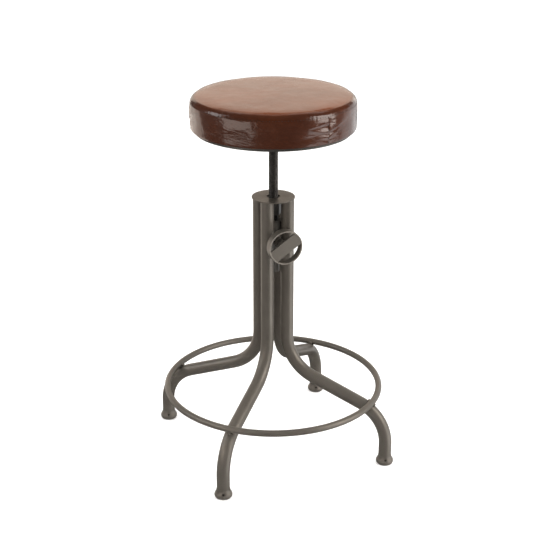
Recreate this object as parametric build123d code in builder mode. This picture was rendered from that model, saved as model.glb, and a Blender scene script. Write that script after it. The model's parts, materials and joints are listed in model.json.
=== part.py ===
"""Bar stool: a leather drum seat on a threaded spindle, in a column of four bent tubes."""

import os
from math import acos, atan2, cos, hypot, radians, sin, sqrt, tan

from build123d import *

# Driving dimensions, in millimetres and degrees
# Z is up, the floor is at Z = 0 and the spindle stands on the Z axis

# Legs
leg_bearings = {"front_left": 225.0, "front_right": 315.0, "back_right": 45.0, "back_left": 135.0}
tube_diameter = 28.0
tube_wall = 2.0
column_height = 585.8  # floor to the upper ends of the tubes
foot_circle_radius = 269.0  # spindle axis to the axis of a tube at the floor
upper_corner_height = 202.5  # where the upright and the sloping run of a tube would meet
lower_corner_height = 114.0  # where the sloping run and the foot of a tube would meet
upper_bend_radius = 97.0
lower_bend_radius = 93.0

# Feet
foot_height = 20.5
foot_flare = 5.0  # how far a ferrule stands out from its tube
foot_widest_height = 6.0
foot_shoulder_height = 11.0
foot_shoulder_inset = 0.8
foot_base_inset = 2.3
foot_hollow = 0.5  # how far the flare curves in
foot_edge = 0.6  # wall at the upper edge of a ferrule
foot_floor = 2.0  # metal between the tube's end and the glide
glide_height = 4.0
glide_proud = 1.0  # how far a glide stands out under its ferrule
glide_inset = 4.0
foot_screw_diameter = 5.0
foot_screw_height = 13.0
foot_screw_bearing = 250.0  # all four screws face the same way
foot_screw_sunk = 0.6
foot_screw_key = 2.5  # across the flats of the key's socket
foot_screw_key_depth = 2.0

# Footrest
footrest_radius = 237.3  # to the middle of the bar
footrest_bar_diameter = 14.0
footrest_gap = 0.1  # left for the weld
weld_bead_radius = 3.0
weld_bead_length = 9.0
weld_bead_round = 2.0
weld_bite = 1.0

# Spindle, its nuts and its guide
spindle_diameter = 20.0
spindle_exposed = 146.0  # top plate to the rim of the seat pan
thread_clearance = 0.1
plate_thickness = 2.2
plate_inset = 0.6  # edge of the plate inside the outermost line of the tubes
plate_edge = 0.5
plate_hole_gap = 4.3  # between the spindle and the rim of the plate's hole
nut_across_flats = 30.0
nut_height = 18.0
nut_turn = 50.0  # bearing of a corner
nut_chamfer = 1.2
nut_to_tube_gap = 1.7
guide_gap = 13.8  # lower nut to guide collar
collar_height = 30.0
sleeve_length = 118.0
sleeve_wall = 1.5
weld_clearance = 0.3
press_clearance = 0.05

# Stop at the lower end of the spindle
stop_land = 9.0  # metal between the lock's hole and the stop's step
stop_rise = 10.0  # how far the spindle can still rise
stop_clearance = 0.5
stop_shoulder = 1.2  # how far the ring stands out from the spindle
stop_ring_height = 6.0
stop_ring_clearance = 0.3
stop_spigot_diameter = 12.0
stop_play = 0.3
stop_bolt_diameter = 8.0
stop_bolt_length = 20.0
stop_bolt_washer_overlap = 2.5
stop_bolt_washer = 1.5
stop_bolt_head_flats = 13.0
stop_bolt_head = 5.0

# Lock and hand wheel
lock_gap = 2.0  # guide collar to lock boss
lock_screw_diameter = 10.0
lock_boss_proud = 4.0  # how far the boss stands out in front of the tubes
lock_pad_length = 8.0
lock_pad_clearance = 0.3
wheel_gap = 13.6  # lock boss to the back of the wheel
wheel_diameter = 75.0
wheel_wall = 3.0
wheel_depth = 18.0
wheel_edge = 0.8
wheel_bar_width = 28.0
wheel_bar_thickness = 4.0
wheel_bar_slope = 33.0
wheel_hub_diameter = 24.0

# Seat frame
seat_diameter = 350.0
seat_pan_sheet = 2.5
seat_pan_rim_height = 6.0
seat_pan_rim_width = 3.0
seat_pan_inset = 10.0  # from the widest place of the cushion
seat_pan_edge = 0.8
flange_diameter = 120.0
flange_thickness = 5.0
flange_boss_diameter = 32.0
flange_boss_height = 20.0
flange_fillet = 3.0
flange_screw_count = 4
flange_screw_circle = 90.0
flange_screw_diameter = 6.0
flange_screw_clearance = 0.3
flange_screw_grip = 10.0  # in the wood
flange_screw_head_diameter = 12.0
flange_screw_head = 4.0
flange_screw_slot = 1.6
flange_screw_slot_depth = 2.0
board_thickness = 12.0

# Cushion
cushion_height = 72.0  # seat pan to the top of the crown
leather = 1.2
cover_clearance = 0.3
crown_rise = 3.5
shoulder_radius = 9.5
side_curve = 195.0  # radius of the bulge of the side
widest_rise = 38.0  # seat pan to the widest place
margin_width = 26.0  # leather turned in under the board
side_panels = ("right", "back", "front")
side_seam_bearing = 287.0  # upright seam where the first of the side panels starts
staple_count = 24
staple_wire = 0.8
staple_width = 10.0
staple_leg = 8.0
staple_inset = 12.0  # from the inner edge of the margin

# Sizes that follow from them
tube_radius = tube_diameter / 2
nut_corner_radius = nut_across_flats / sqrt(3)
column_circle_radius = nut_corner_radius + nut_to_tube_gap + tube_radius
column_free_radius = column_circle_radius - tube_radius
plate_top = column_height + plate_thickness
spindle_radius = spindle_diameter / 2
thread_bore_radius = spindle_radius + thread_clearance

nut_base = column_height - 2 * nut_height
collar_top = nut_base - guide_gap
collar_base = collar_top - collar_height
sleeve_base = collar_top - sleeve_length
stop_ring_radius = spindle_radius + stop_shoulder
sleeve_bore_radius = stop_ring_radius + stop_ring_clearance
sleeve_radius = sleeve_bore_radius + sleeve_wall
stop_spigot_radius = stop_spigot_diameter / 2

# Between the two front tubes the lock boss has this much room on each side of its axis
front_gap = column_circle_radius * sin(radians(45)) - tube_radius
lock_boss_radius = front_gap - weld_clearance
lock_bore_radius = lock_screw_diameter / 2 + thread_clearance
lock_height = collar_base - lock_gap - lock_boss_radius
lock_boss_front = column_circle_radius * cos(radians(45)) + tube_radius + lock_boss_proud
lock_pad_front = spindle_radius + lock_pad_clearance
lock_screw_tip = lock_pad_front + lock_pad_length + lock_pad_clearance
wheel_back = lock_boss_front + wheel_gap
wheel_front = wheel_back + wheel_depth
wheel_bar_back = wheel_front - wheel_edge - wheel_bar_thickness
wheel_radius = wheel_diameter / 2
wheel_inner_radius = wheel_radius - wheel_wall

stop_step = lock_height - lock_bore_radius - stop_land
stop_ring_top = stop_step - stop_rise - stop_clearance
stop_ring_base = stop_ring_top - stop_ring_height
spindle_shoulder = stop_ring_top + stop_play
spindle_end = stop_ring_base - stop_play

seat_radius = seat_diameter / 2
pan_rim_base = plate_top + spindle_exposed
pan_top = pan_rim_base + seat_pan_rim_height
pan_base = pan_top - seat_pan_sheet
pan_radius = seat_radius - seat_pan_inset
margin_base = pan_top + staple_wire
board_base = margin_base + leather
board_top = board_base + board_thickness
flange_base = pan_base - flange_thickness
flange_boss_base = flange_base - flange_boss_height
crown_top = pan_top + cushion_height
shoulder_top = crown_top - crown_rise
seam_height = shoulder_top - shoulder_radius
widest_height = pan_top + widest_rise

# The foot end of a tube stands on the floor of its ferrule's socket
foot_radius = tube_radius + foot_flare
foot_base_radius = foot_radius - foot_base_inset
glide_radius = foot_base_radius - glide_inset
glide_top = glide_height
socket_floor = glide_top + foot_floor
socket_radius = tube_radius + press_clearance
tube_end = socket_floor + press_clearance

# The footrest lies on the outside of the lower bends
slope = atan2(upper_corner_height - lower_corner_height, foot_circle_radius - column_circle_radius)
bend_centre = (
    foot_circle_radius - lower_bend_radius,
    lower_corner_height - lower_bend_radius * tan((radians(90) - slope) / 2),
)
bend_outer_radius = lower_bend_radius + tube_radius
footrest_bar_radius = footrest_bar_diameter / 2
footrest_reach = bend_outer_radius + footrest_bar_radius + footrest_gap
footrest_height = bend_centre[1] + sqrt(footrest_reach**2 - (footrest_radius - bend_centre[0]) ** 2)

lock_plane = Plane(origin=(0, 0, lock_height), x_dir=(1, 0, 0), z_dir=(0, -1, 0))

os.makedirs("parts", exist_ok=True)


def save(part, name):
    part.label = name
    export_step(part, f"parts/{name}.step")
    print(name, len(part.solids()), "solids", round(part.volume, 1), "mm3")


def upright_plane(bearing):
    """Upright plane through the spindle axis: x points out along the bearing, y points up."""
    out = (cos(radians(bearing)), sin(radians(bearing)), 0)
    return Plane(origin=(0, 0, 0), x_dir=out, z_dir=(out[1], -out[0], 0))


def foot_point(bearing, height):
    out = (cos(radians(bearing)), sin(radians(bearing)))
    return (foot_circle_radius * out[0], foot_circle_radius * out[1], height)


def foot_screw_plane(bearing):
    """Plane on the tube's axis at the screw's height, with its normal along the screw."""
    out = (cos(radians(foot_screw_bearing)), sin(radians(foot_screw_bearing)), 0)
    return Plane(origin=foot_point(bearing, foot_screw_height), x_dir=(0, 0, 1), z_dir=out)


def side_radius(height, inset):
    """Radius of the cushion's bulging side at a height, a little inside its outer surface."""
    curve = side_curve - inset
    return seat_radius - side_curve + sqrt(curve**2 - (height - widest_height) ** 2)


# Leg tubes
def make_leg(bearing):
    with BuildPart() as leg:
        with BuildLine(upright_plane(bearing)) as path:
            FilletPolyline(
                (column_circle_radius, column_height),
                (column_circle_radius, upper_corner_height),
                (foot_circle_radius, lower_corner_height),
                (foot_circle_radius, tube_end),
                radius=(upper_bend_radius, lower_bend_radius),
            )
        with BuildSketch(Plane(origin=path.line @ 0, z_dir=path.line % 0)):
            Circle(tube_radius)
            Circle(tube_radius - tube_wall, mode=Mode.SUBTRACT)
        sweep(path=path.line)
        with BuildSketch(foot_screw_plane(bearing)):
            Circle(foot_screw_diameter / 2 + press_clearance)
        extrude(amount=foot_radius, mode=Mode.SUBTRACT)
    return leg.part


legs = {name: make_leg(bearing) for name, bearing in leg_bearings.items()}
for name, part in legs.items():
    save(part, f"leg_{name}")


# Ferrules
flare_middle = (
    (tube_radius + foot_edge + foot_radius - foot_shoulder_inset) / 2 - foot_hollow,
    (foot_height + foot_shoulder_height) / 2 - foot_hollow,
)


def make_foot(bearing):
    centre = foot_point(bearing, 0)
    with BuildPart() as foot:
        with BuildSketch(Plane(origin=centre, x_dir=(1, 0, 0), z_dir=(0, -1, 0))):
            with BuildLine():
                shoulder = (foot_radius - foot_shoulder_inset, foot_shoulder_height)
                edge = (tube_radius + foot_edge, foot_height)
                base = (foot_base_radius, glide_proud)
                Polyline((socket_radius, socket_floor), (socket_radius, foot_height), edge)
                ThreePointArc(edge, flare_middle, shoulder)
                ThreePointArc(shoulder, (foot_radius, foot_widest_height), base)
                Polyline(
                    base,
                    (glide_radius, glide_proud),
                    (glide_radius, glide_top),
                    (0, glide_top),
                    (0, socket_floor),
                    (socket_radius, socket_floor),
                )
            make_face()
        revolve(axis=Axis(centre, (0, 0, 1)))
        with BuildSketch(foot_screw_plane(bearing)):
            Circle(foot_screw_diameter / 2 + press_clearance)
        extrude(amount=foot_radius, mode=Mode.SUBTRACT)
    return foot.part


for name, bearing in leg_bearings.items():
    save(make_foot(bearing), f"foot_{name}")

glide_points = [foot_point(bearing, 0) for bearing in leg_bearings.values()]
with BuildPart() as foot_glides:
    with Locations(*glide_points):
        Cylinder(
            glide_radius - press_clearance,
            glide_height - press_clearance,
            align=(Align.CENTER, Align.CENTER, Align.MIN),
        )
    fillet(foot_glides.edges().filter_by_position(Axis.Z, -0.01, 0.01), radius=glide_proud / 2)
save(foot_glides.part, "foot_glides")

# Grub screws that hold the ferrules, with a socket for a key
foot_screw_start = tube_radius - tube_wall + press_clearance
foot_screw_reach = flare_middle[0] - foot_screw_sunk
with BuildPart() as foot_screws:
    for bearing in leg_bearings.values():
        with BuildSketch(foot_screw_plane(bearing).offset(foot_screw_start)):
            Circle(foot_screw_diameter / 2)
        extrude(amount=foot_screw_reach - foot_screw_start)
        with BuildSketch(foot_screw_plane(bearing).offset(foot_screw_reach)):
            RegularPolygon(foot_screw_key / 2, 6, major_radius=False)
        extrude(amount=-foot_screw_key_depth, mode=Mode.SUBTRACT)
save(foot_screws.part, "foot_screws")

# Footrest ring
with BuildPart() as footrest_ring:
    with BuildSketch(Plane.XZ):
        with Locations((footrest_radius, footrest_height)):
            Circle(footrest_bar_radius)
    revolve(axis=Axis.Z)
save(footrest_ring.part, "footrest_ring")

# Weld beads, one on each side of the bar where it lies on a leg
bead_from_bend = bend_outer_radius + weld_bead_radius - weld_bite
bead_from_bar = footrest_bar_radius + weld_bead_radius - weld_bite
bead_swing = acos(
    (footrest_reach**2 + bead_from_bend**2 - bead_from_bar**2) / (2 * footrest_reach * bead_from_bend)
)
contact_angle = atan2(footrest_height - bend_centre[1], footrest_radius - bend_centre[0])


def make_bead(bearing, angle):
    middle = (bend_centre[0] + bead_from_bend * cos(angle), bend_centre[1] + bead_from_bend * sin(angle))
    with BuildPart() as bead:
        with BuildSketch(upright_plane(bearing).offset(-weld_bead_length / 2)):
            with Locations(middle):
                Circle(weld_bead_radius)
        extrude(amount=weld_bead_length)
        fillet(bead.edges().filter_by(GeomType.CIRCLE), radius=weld_bead_round)
        add(footrest_ring.part, mode=Mode.SUBTRACT)
        add(leg_core(bearing), mode=Mode.SUBTRACT)
    return bead.part


def leg_core(bearing):
    """The lower bend of a leg, without its bore."""
    with BuildPart() as core:
        with BuildLine(upright_plane(bearing)) as bend:
            CenterArc(bend_centre, lower_bend_radius, 0, 90)
        with BuildSketch(Plane(origin=bend.line @ 0, z_dir=bend.line % 0)):
            Circle(tube_radius)
        sweep(path=bend.line)
    return core.part


with BuildPart() as footrest_welds:
    for bearing in leg_bearings.values():
        for swing in (-bead_swing, bead_swing):
            add(make_bead(bearing, contact_angle + swing))
save(footrest_welds.part, "footrest_welds")

# Top plate
with BuildPart() as top_plate:
    with BuildSketch(Plane.XY.offset(column_height)):
        Circle(column_circle_radius + tube_radius - plate_inset)
        Circle(spindle_radius + plate_hole_gap, mode=Mode.SUBTRACT)
    extrude(amount=plate_thickness)
    fillet(top_plate.edges().group_by(Axis.Z)[-1], radius=plate_edge)
save(top_plate.part, "top_plate")


# Spindle nuts, welded under the plate
def make_nut(base):
    with BuildPart() as nut:
        with BuildSketch(Plane.XY.offset(base)):
            Circle(nut_corner_radius)
        extrude(amount=nut_height)
        chamfer(nut.edges(), length=nut_chamfer / 2, length2=nut_chamfer)
        with BuildSketch(Plane.XY.offset(base)):
            RegularPolygon(nut_corner_radius, 6, rotation=nut_turn)
        extrude(amount=nut_height, mode=Mode.INTERSECT)
        with BuildSketch(Plane.XY.offset(base)):
            Circle(thread_bore_radius)
        extrude(amount=nut_height, mode=Mode.SUBTRACT)
    return nut.part


save(make_nut(nut_base + nut_height), "spindle_nut_upper")
save(make_nut(nut_base), "spindle_nut_lower")

# Guide collar, welded between the tubes, and the sleeve that it holds
with BuildPart() as guide_collar:
    with BuildSketch(Plane.XY.offset(collar_base)):
        Circle(column_free_radius - weld_clearance)
        Circle(sleeve_radius + press_clearance, mode=Mode.SUBTRACT)
    extrude(amount=collar_height)
    chamfer(guide_collar.edges().group_by(Axis.Z)[-1].sort_by(SortBy.RADIUS)[-1], length=nut_chamfer)
save(guide_collar.part, "guide_collar")

with BuildPart() as guide_sleeve:
    with BuildSketch(Plane.XY.offset(sleeve_base)):
        Circle(sleeve_radius)
    extrude(amount=sleeve_length)
    with BuildSketch(Plane.XY.offset(sleeve_base)):
        Circle(sleeve_bore_radius)
    extrude(amount=stop_step - sleeve_base, mode=Mode.SUBTRACT)
    with BuildSketch(Plane.XY.offset(stop_step)):
        Circle(thread_bore_radius)
    extrude(amount=collar_top - stop_step, mode=Mode.SUBTRACT)
    with BuildSketch(lock_plane):
        Circle(lock_bore_radius)
    extrude(amount=sleeve_radius, mode=Mode.SUBTRACT)
save(guide_sleeve.part, "guide_sleeve")

# Lock boss between the two front tubes, saddled on the sleeve
with BuildPart() as lock_boss:
    with BuildSketch(lock_plane):
        Circle(lock_boss_radius)
        Circle(lock_bore_radius, mode=Mode.SUBTRACT)
    extrude(amount=lock_boss_front)
    with BuildSketch(Plane.XY.offset(lock_height - lock_boss_radius)):
        Circle(sleeve_radius + press_clearance)
    extrude(amount=2 * lock_boss_radius, mode=Mode.SUBTRACT)
save(lock_boss.part, "lock_boss")

# Spindle: plain at the crest of its thread, with a spigot and a tapped hole at its lower end
with BuildPart() as spindle:
    with BuildSketch(Plane.XY.offset(spindle_shoulder)):
        Circle(spindle_radius)
    extrude(amount=pan_base - spindle_shoulder)
    with BuildSketch(Plane.XY.offset(spindle_end)):
        Circle(stop_spigot_radius)
    extrude(amount=spindle_shoulder - spindle_end)
    with BuildSketch(Plane.XY.offset(spindle_end)):
        Circle(stop_bolt_diameter / 2 + press_clearance)
    extrude(amount=stop_bolt_length + press_clearance, mode=Mode.SUBTRACT)
save(spindle.part, "spindle")

with BuildPart() as stop_ring:
    with BuildSketch(Plane.XY.offset(stop_ring_base)):
        Circle(stop_ring_radius)
        Circle(stop_spigot_radius + thread_clearance, mode=Mode.SUBTRACT)
    extrude(amount=stop_ring_height)
save(stop_ring.part, "stop_ring")

with BuildPart() as stop_bolt:
    with BuildSketch(Plane.XY.offset(spindle_end)):
        Circle(stop_bolt_diameter / 2)
    extrude(amount=stop_bolt_length)
    with BuildSketch(Plane.XY.offset(spindle_end)):
        Circle(stop_spigot_radius + stop_bolt_washer_overlap)
    extrude(amount=-stop_bolt_washer)
    with BuildSketch(Plane.XY.offset(spindle_end - stop_bolt_washer)):
        RegularPolygon(stop_bolt_head_flats / 2, 6, major_radius=False)
    extrude(amount=-stop_bolt_head)
save(stop_bolt.part, "stop_bolt")

# Lock: a brass pad, the screw behind it and the hand wheel
with BuildPart() as lock_pad:
    with BuildSketch(lock_plane.offset(lock_pad_front)):
        Circle(lock_bore_radius - lock_pad_clearance)
    extrude(amount=lock_pad_length)
save(lock_pad.part, "lock_pad")

with BuildPart() as lock_screw:
    with BuildSketch(lock_plane.offset(lock_screw_tip)):
        Circle(lock_screw_diameter / 2)
    extrude(amount=wheel_bar_back - lock_screw_tip)
save(lock_screw.part, "lock_screw")

with BuildPart() as wheel_hub:
    with BuildSketch(lock_plane.offset(wheel_back)):
        Circle(wheel_hub_diameter / 2)
        Circle(lock_screw_diameter / 2 + press_clearance, mode=Mode.SUBTRACT)
    extrude(amount=wheel_bar_back - wheel_back)
    chamfer(wheel_hub.edges().group_by(Axis.Y)[-1].sort_by(SortBy.RADIUS)[-1], length=wheel_edge)
save(wheel_hub.part, "wheel_hub")

with BuildPart() as wheel_rim:
    with BuildSketch(lock_plane.offset(wheel_back)):
        Circle(wheel_radius)
        Circle(wheel_inner_radius, mode=Mode.SUBTRACT)
    extrude(amount=wheel_depth)
    fillet(wheel_rim.edges().filter_by(GeomType.CIRCLE), radius=wheel_edge)
save(wheel_rim.part, "wheel_rim")

with BuildPart() as wheel_bar:
    with BuildSketch(lock_plane.offset(wheel_bar_back)):
        Circle(wheel_inner_radius - press_clearance)
        Rectangle(wheel_diameter, wheel_bar_width, rotation=wheel_bar_slope, mode=Mode.INTERSECT)
    extrude(amount=wheel_bar_thickness)
save(wheel_bar.part, "wheel_bar")

# Seat flange on the spindle's upper end
with BuildPart() as seat_flange:
    with BuildSketch(Plane.XY.offset(flange_base)):
        Circle(flange_diameter / 2)
    extrude(amount=flange_thickness)
    with BuildSketch(Plane.XY.offset(flange_boss_base)):
        Circle(flange_boss_diameter / 2)
    extrude(amount=flange_boss_height)
    root = seat_flange.edges().filter_by(GeomType.CIRCLE).filter_by_position(
        Axis.Z, flange_base - press_clearance, flange_base + press_clearance
    )
    fillet(root.sort_by(SortBy.RADIUS)[0], radius=flange_fillet)
    with BuildSketch(Plane.XY.offset(flange_boss_base)):
        Circle(spindle_radius + press_clearance)
    extrude(amount=flange_boss_height + flange_thickness, mode=Mode.SUBTRACT)
    with BuildSketch(Plane.XY.offset(flange_base)):
        with PolarLocations(flange_screw_circle / 2, flange_screw_count):
            Circle(flange_screw_diameter / 2 + flange_screw_clearance)
    extrude(amount=flange_thickness, mode=Mode.SUBTRACT)
save(seat_flange.part, "seat_flange")

flange_screw_end = board_base + flange_screw_grip
with BuildPart() as seat_flange_screws:
    with BuildSketch(Plane.XY.offset(flange_base)):
        with PolarLocations(flange_screw_circle / 2, flange_screw_count):
            Circle(flange_screw_diameter / 2)
    extrude(amount=flange_screw_end - flange_base)
    with BuildSketch(Plane.XY.offset(flange_base)):
        with PolarLocations(flange_screw_circle / 2, flange_screw_count):
            Circle(flange_screw_head_diameter / 2)
    extrude(amount=-flange_screw_head)
    fillet(seat_flange_screws.edges().group_by(Axis.Z)[0], radius=flange_screw_head / 2)
    with BuildSketch(Plane.XY.offset(flange_base - flange_screw_head)):
        with PolarLocations(flange_screw_circle / 2, flange_screw_count):
            Rectangle(flange_screw_diameter, flange_screw_slot)
            Rectangle(flange_screw_slot, flange_screw_diameter)
    extrude(amount=flange_screw_slot_depth, mode=Mode.SUBTRACT)
save(seat_flange_screws.part, "seat_flange_screws")

# Seat pan: a sheet with its rim turned down, which shows as a thin metal edge under the leather
with BuildPart() as seat_pan:
    with BuildSketch(Plane.XY.offset(pan_rim_base)):
        Circle(pan_radius)
    extrude(amount=seat_pan_rim_height)
    with BuildSketch(Plane.XY.offset(pan_rim_base)):
        Circle(pan_radius - seat_pan_rim_width)
    extrude(amount=seat_pan_rim_height - seat_pan_sheet, mode=Mode.SUBTRACT)
    fillet(seat_pan.edges().filter_by(GeomType.CIRCLE).sort_by(SortBy.RADIUS)[-2:], radius=seat_pan_edge)
    with BuildSketch(Plane.XY.offset(pan_base)):
        with PolarLocations(flange_screw_circle / 2, flange_screw_count):
            Circle(flange_screw_diameter / 2 + flange_screw_clearance)
    extrude(amount=seat_pan_sheet, mode=Mode.SUBTRACT)
save(seat_pan.part, "seat_pan")

# Plywood board
board_radius = side_radius(board_base, leather + cover_clearance)
with BuildPart() as seat_board:
    with BuildSketch(Plane.XY.offset(board_base)):
        Circle(board_radius)
    extrude(amount=board_thickness)
    with BuildSketch(Plane.XY.offset(board_base)):
        with PolarLocations(flange_screw_circle / 2, flange_screw_count):
            Circle(flange_screw_diameter / 2 + press_clearance)
    extrude(amount=flange_screw_grip + press_clearance, mode=Mode.SUBTRACT)
save(seat_board.part, "seat_board")


# Cushion: every skin follows the same crown, shoulder and bulging side, at its own depth
shoulder_centre = side_radius(seam_height, 0) - shoulder_radius


def crown_and_shoulder(inset):
    """Top line of the cushion from the axis to the seam, at a depth inside the leather."""
    rise = crown_rise
    middle = shoulder_centre / 2
    bow = (shoulder_radius - inset) * cos(radians(45))
    top = (0, crown_top - inset)
    bend = (shoulder_centre, shoulder_top - inset)
    seam = (shoulder_centre + shoulder_radius - inset, seam_height)
    ThreePointArc(top, (middle, crown_top - inset - rise / 4), bend)
    ThreePointArc(bend, (shoulder_centre + bow, seam_height + bow), seam)
    return top, seam


def side_line(inset, start, base):
    """Bulging side from the seam down to a height, at a depth inside the leather."""
    end = (side_radius(base, inset), base)
    middle = (start[1] + base) / 2
    ThreePointArc(start, (side_radius(middle, inset), middle), end)
    return end


with BuildPart() as cover_top:
    with BuildSketch(Plane.XZ):
        with BuildLine():
            outer_top, outer_seam = crown_and_shoulder(0)
            inner_top, inner_seam = crown_and_shoulder(leather)
            Line(outer_seam, inner_seam)
            Line(inner_top, outer_top)
        make_face()
    revolve(axis=Axis.Z)
save(cover_top.part, "cover_top")

margin_radius = side_radius(board_base, leather) - margin_width
side_panel_arc = 360 / len(side_panels)


def make_side_panel(bearing):
    """Side leather from one upright seam to the next, with its margin turned in under the board."""
    with BuildPart() as panel:
        with BuildSketch(upright_plane(bearing)):
            with BuildLine():
                outer_seam = (side_radius(seam_height, 0), seam_height)
                inner_seam = (side_radius(seam_height, leather), seam_height)
                outer_end = side_line(0, outer_seam, margin_base)
                inner_end = side_line(leather, inner_seam, board_base)
                Line(outer_seam, inner_seam)
                Polyline(outer_end, (margin_radius, margin_base), (margin_radius, board_base), inner_end)
            make_face()
        revolve(axis=Axis.Z, revolution_arc=side_panel_arc)
    return panel.part


for place, name in enumerate(side_panels):
    save(make_side_panel(side_seam_bearing + place * side_panel_arc), f"cover_side_{name}")

with BuildPart() as seat_foam:
    with BuildSketch(Plane.XZ):
        with BuildLine():
            top, seam = crown_and_shoulder(leather + cover_clearance)
            end = side_line(leather + cover_clearance, seam, board_top)
            Polyline(end, (0, board_top), top)
        make_face()
    revolve(axis=Axis.Z)
save(seat_foam.part, "seat_foam")

# Staples that hold the turned-in leather on the board
staple_radius = margin_radius + staple_inset
with BuildPart() as cover_staples:
    with BuildSketch(Plane.XY.offset(pan_top)):
        with PolarLocations(staple_radius, staple_count):
            Rectangle(staple_wire, staple_width)
    extrude(amount=staple_wire)
    with BuildSketch(Plane.XY.offset(pan_top)):
        with PolarLocations(staple_radius, staple_count):
            with Locations((0, (staple_width - staple_wire) / 2), (0, -(staple_width - staple_wire) / 2)):
                Rectangle(staple_wire, staple_wire)
    extrude(amount=staple_wire + staple_leg)
save(cover_staples.part, "cover_staples")

# What the sizes come to
tube_section = tube_radius**2 - (tube_radius - tube_wall) ** 2
print("seat height", round(crown_top, 1), "footrest height", round(footrest_height, 1))
print("lock axis height", round(lock_height, 2), "wheel front", round(wheel_front, 2))
print("stop ring", round(stop_ring_base, 2), "to", round(stop_ring_top, 2))
print("leg length", round(legs["front_left"].volume / (3.14159265 * tube_section), 1))
print("reach over the feet", round(hypot(*foot_point(45, 0)[:2]) + foot_radius, 1))
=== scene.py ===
# %% [markdown]
# # A bar stool with a screw spindle
# The stool has a round leather seat on a black threaded spindle. The spindle stands in a
# column of four bent tubes, and a hand wheel on the column locks it. Its CAD model gives
# every piece its place and size. This lesson keeps the hard pieces as they are, gives them
# finishes, and makes what CAD leaves plain: the sewn leather, the threads and the welds.

# %% Load the stool
import json
import math

import bmesh
import bpy
import numpy as np
from mathutils import Matrix, Vector
from mathutils.bvhtree import BVHTree


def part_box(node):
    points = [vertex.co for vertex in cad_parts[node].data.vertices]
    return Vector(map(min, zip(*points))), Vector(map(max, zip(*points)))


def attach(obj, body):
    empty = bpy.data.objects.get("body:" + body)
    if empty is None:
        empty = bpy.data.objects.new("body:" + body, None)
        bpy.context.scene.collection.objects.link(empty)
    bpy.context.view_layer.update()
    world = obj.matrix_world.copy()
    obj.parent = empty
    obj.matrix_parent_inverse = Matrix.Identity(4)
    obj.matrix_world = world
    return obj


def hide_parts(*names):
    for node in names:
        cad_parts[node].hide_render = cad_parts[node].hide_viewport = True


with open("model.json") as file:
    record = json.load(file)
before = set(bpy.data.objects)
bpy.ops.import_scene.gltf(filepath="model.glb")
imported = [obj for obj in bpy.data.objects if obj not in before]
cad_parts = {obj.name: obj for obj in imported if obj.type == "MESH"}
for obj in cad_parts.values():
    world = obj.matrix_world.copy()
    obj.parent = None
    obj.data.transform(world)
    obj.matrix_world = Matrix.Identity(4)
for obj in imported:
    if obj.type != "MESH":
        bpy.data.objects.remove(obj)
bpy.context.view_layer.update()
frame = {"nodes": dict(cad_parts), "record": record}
scene = bpy.context.scene
nodes = frame["nodes"]

# %% [markdown]
# ## Camera
# The photograph was taken from a little above the seat, with a long lens, so that the tubes
# stay almost parallel. A camera is three things: a place, a direction and a lens. The wide
# sensor is left at 36 mm, and the lens is then the focal length of the photograph's frame.

# %% Camera at the photograph's place
camera_data = bpy.data.cameras.new("camera")
camera_data.sensor_width = 36.0
camera_data.lens = 84.0
camera = bpy.data.objects.new("camera", camera_data)
camera.location = (-0.9555, -2.3661, 1.4375)
camera.rotation_euler = (math.radians(68.23), 0.0, math.radians(-21.83))
scene.collection.objects.link(camera)
scene.camera = camera
print("camera at", [round(c, 3) for c in camera.location])

# %% [markdown]
# ## Helpers for finishes
# A finish is a small tree of nodes that ends in one Principled shader. Each tree here starts
# from Object coordinates, which are metres in the stool's own frame, so a noise of scale 1000
# has grains of about a millimetre on every piece, large or small.

# %% Finish helpers
def new_finish(name, **values):
    """A material with one Principled shader. The values are constants for its sockets."""
    finish = bpy.data.materials.new(name)
    finish.use_nodes = True
    tree = finish.node_tree
    tree.nodes.clear()
    out = tree.nodes.new("ShaderNodeOutputMaterial")
    skin = tree.nodes.new("ShaderNodeBsdfPrincipled")
    tree.links.new(skin.outputs["BSDF"], out.inputs["Surface"])
    for socket, value in values.items():
        skin.inputs[socket.replace("_", " ").title().replace("Ior", "IOR")].default_value = value
    return finish, tree, skin


def place_on_stool(tree, stretch=(1, 1, 1)):
    """Object coordinates, stretched along the axes for a pattern with a direction."""
    where = tree.nodes.new("ShaderNodeTexCoord")
    turn = tree.nodes.new("ShaderNodeMapping")
    turn.inputs["Scale"].default_value = stretch
    tree.links.new(where.outputs["Object"], turn.inputs["Vector"])
    return turn.outputs["Vector"]


def grain(tree, where, scale, detail=3.0, roughness=0.55, distortion=0.0):
    """Soft noise from about 0.3 to 0.7, with scale grains to the metre."""
    noise = tree.nodes.new("ShaderNodeTexNoise")
    noise.inputs["Scale"].default_value = scale
    noise.inputs["Detail"].default_value = detail
    noise.inputs["Roughness"].default_value = roughness
    noise.inputs["Distortion"].default_value = distortion
    tree.links.new(where, noise.inputs["Vector"])
    return noise.outputs["Fac"]


def cells(tree, where, scale, feature="DISTANCE_TO_EDGE"):
    """Cells like those of leather or foam: how far a point is from their edges or middles."""
    voronoi = tree.nodes.new("ShaderNodeTexVoronoi")
    voronoi.feature = feature
    voronoi.inputs["Scale"].default_value = scale
    tree.links.new(where, voronoi.inputs["Vector"])
    return voronoi.outputs["Distance"]


def spread(tree, source, low, high, to_low=0.0, to_high=1.0):
    """Map a range of a value to another one, and hold it at both ends."""
    remap = tree.nodes.new("ShaderNodeMapRange")
    ends = {"From Min": low, "From Max": high, "To Min": to_low, "To Max": to_high}
    for socket, value in ends.items():
        remap.inputs[socket].default_value = value
    tree.links.new(source, remap.inputs["Value"])
    return remap.outputs["Result"]


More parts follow.
